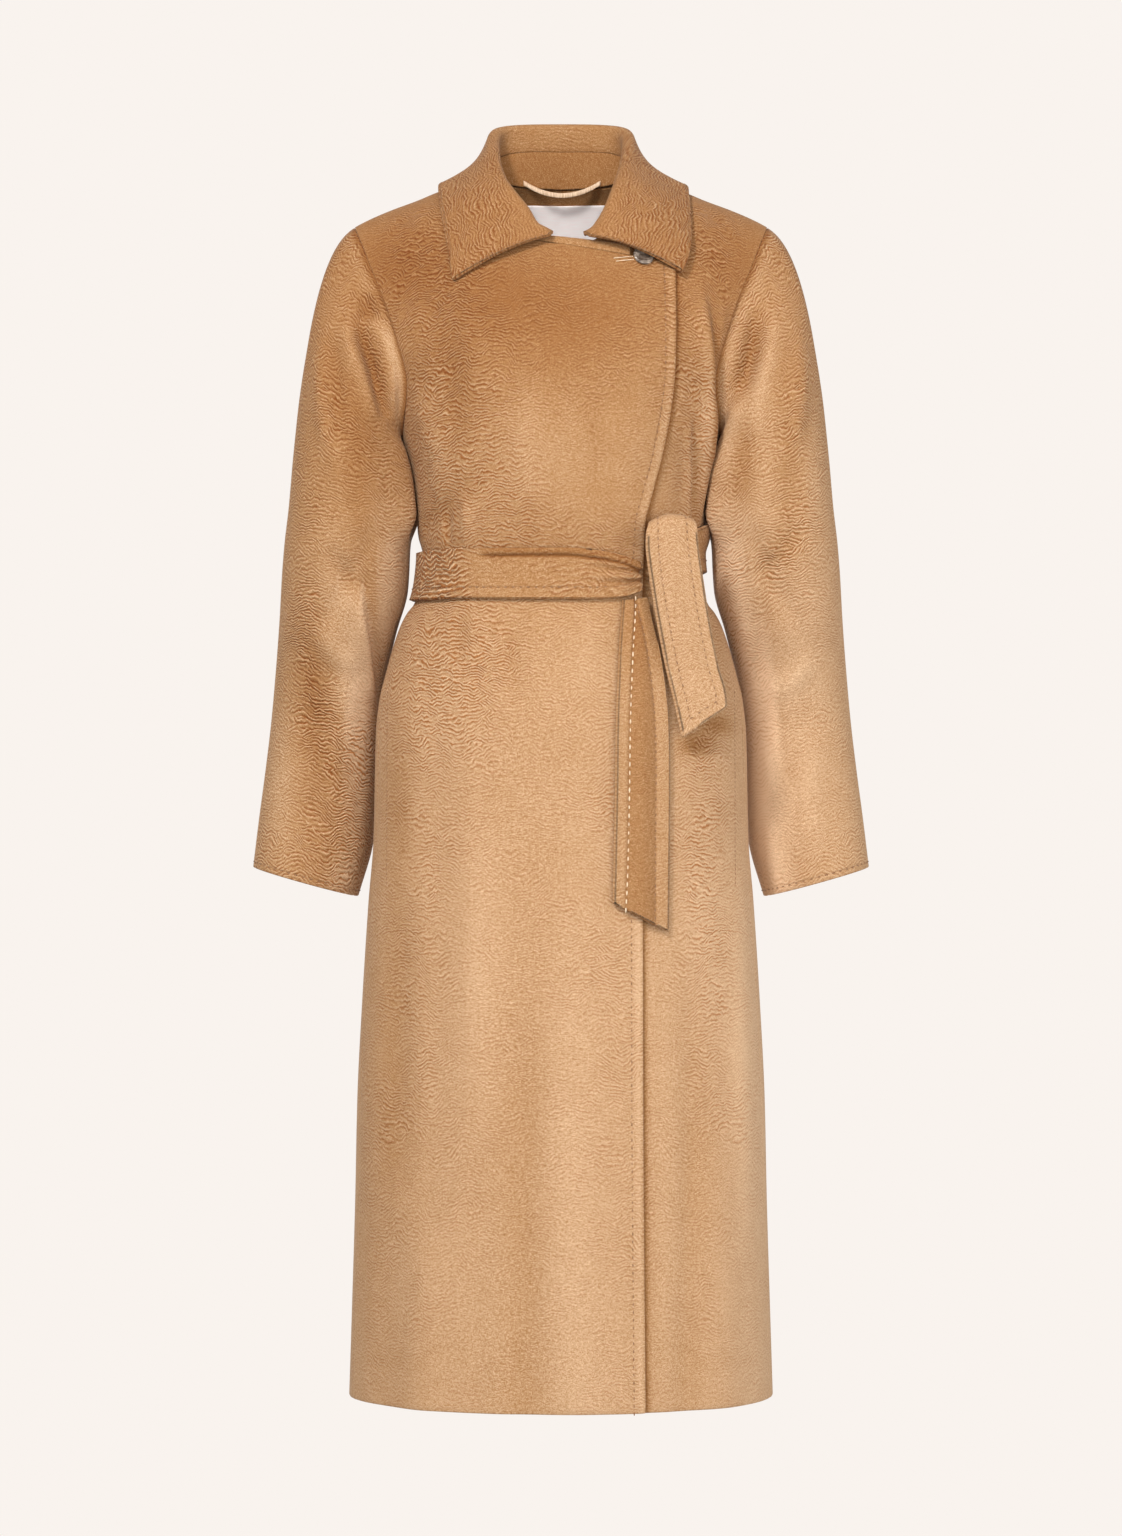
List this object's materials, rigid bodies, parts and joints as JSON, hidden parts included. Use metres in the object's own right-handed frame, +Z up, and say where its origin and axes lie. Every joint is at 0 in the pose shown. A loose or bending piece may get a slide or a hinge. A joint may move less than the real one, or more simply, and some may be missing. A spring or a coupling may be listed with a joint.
{
  "type": "wool wrap coat",
  "caption": "Long wool wrap coat in its hollow worn form, with a pointed roll collar, long sleeves, side pockets and a belt tied at the waist.",
  "frame": {"origin": "midway between the shoulders, where a hanger or a wearer holds the coat", "axes": "+Z up, the front faces -Y, +X is the wearer's left"},
  "size_m": [0.5796, 0.3103, 1.1884],
  "materials": {
    "wool_body": "brushed wool with a rippled nap",
    "wool_sleeve": "brushed wool with a rippled nap",
    "wool_collar": "brushed wool with a rippled nap",
    "wool_belt": "brushed wool with a rippled nap",
    "label_satin": "satin",
    "loop_satin": "satin",
    "button_horn": "polished, like horn"
  },
  "bodies": {
    "root": {"front_right": "wool_body", "front_left": "wool_body", "back": "wool_body", "sleeve_right_front": "wool_sleeve", "sleeve_right_back": "wool_sleeve", "sleeve_left_front": "wool_sleeve", "sleeve_left_back": "wool_sleeve", "collar_leaf": "wool_collar", "collar_stand": "wool_collar", "neck_band": "wool_collar", "belt_waist": "wool_belt", "belt_knot": "wool_belt", "belt_tail_short": "wool_belt", "belt_tail_long": "wool_belt", "label": "label_satin", "hanger_loop": "loop_satin", "button": "button_horn", "pocket_facing_right": "wool_body", "pocket_facing_left": "wool_body"}
  },
  "joints": []
}
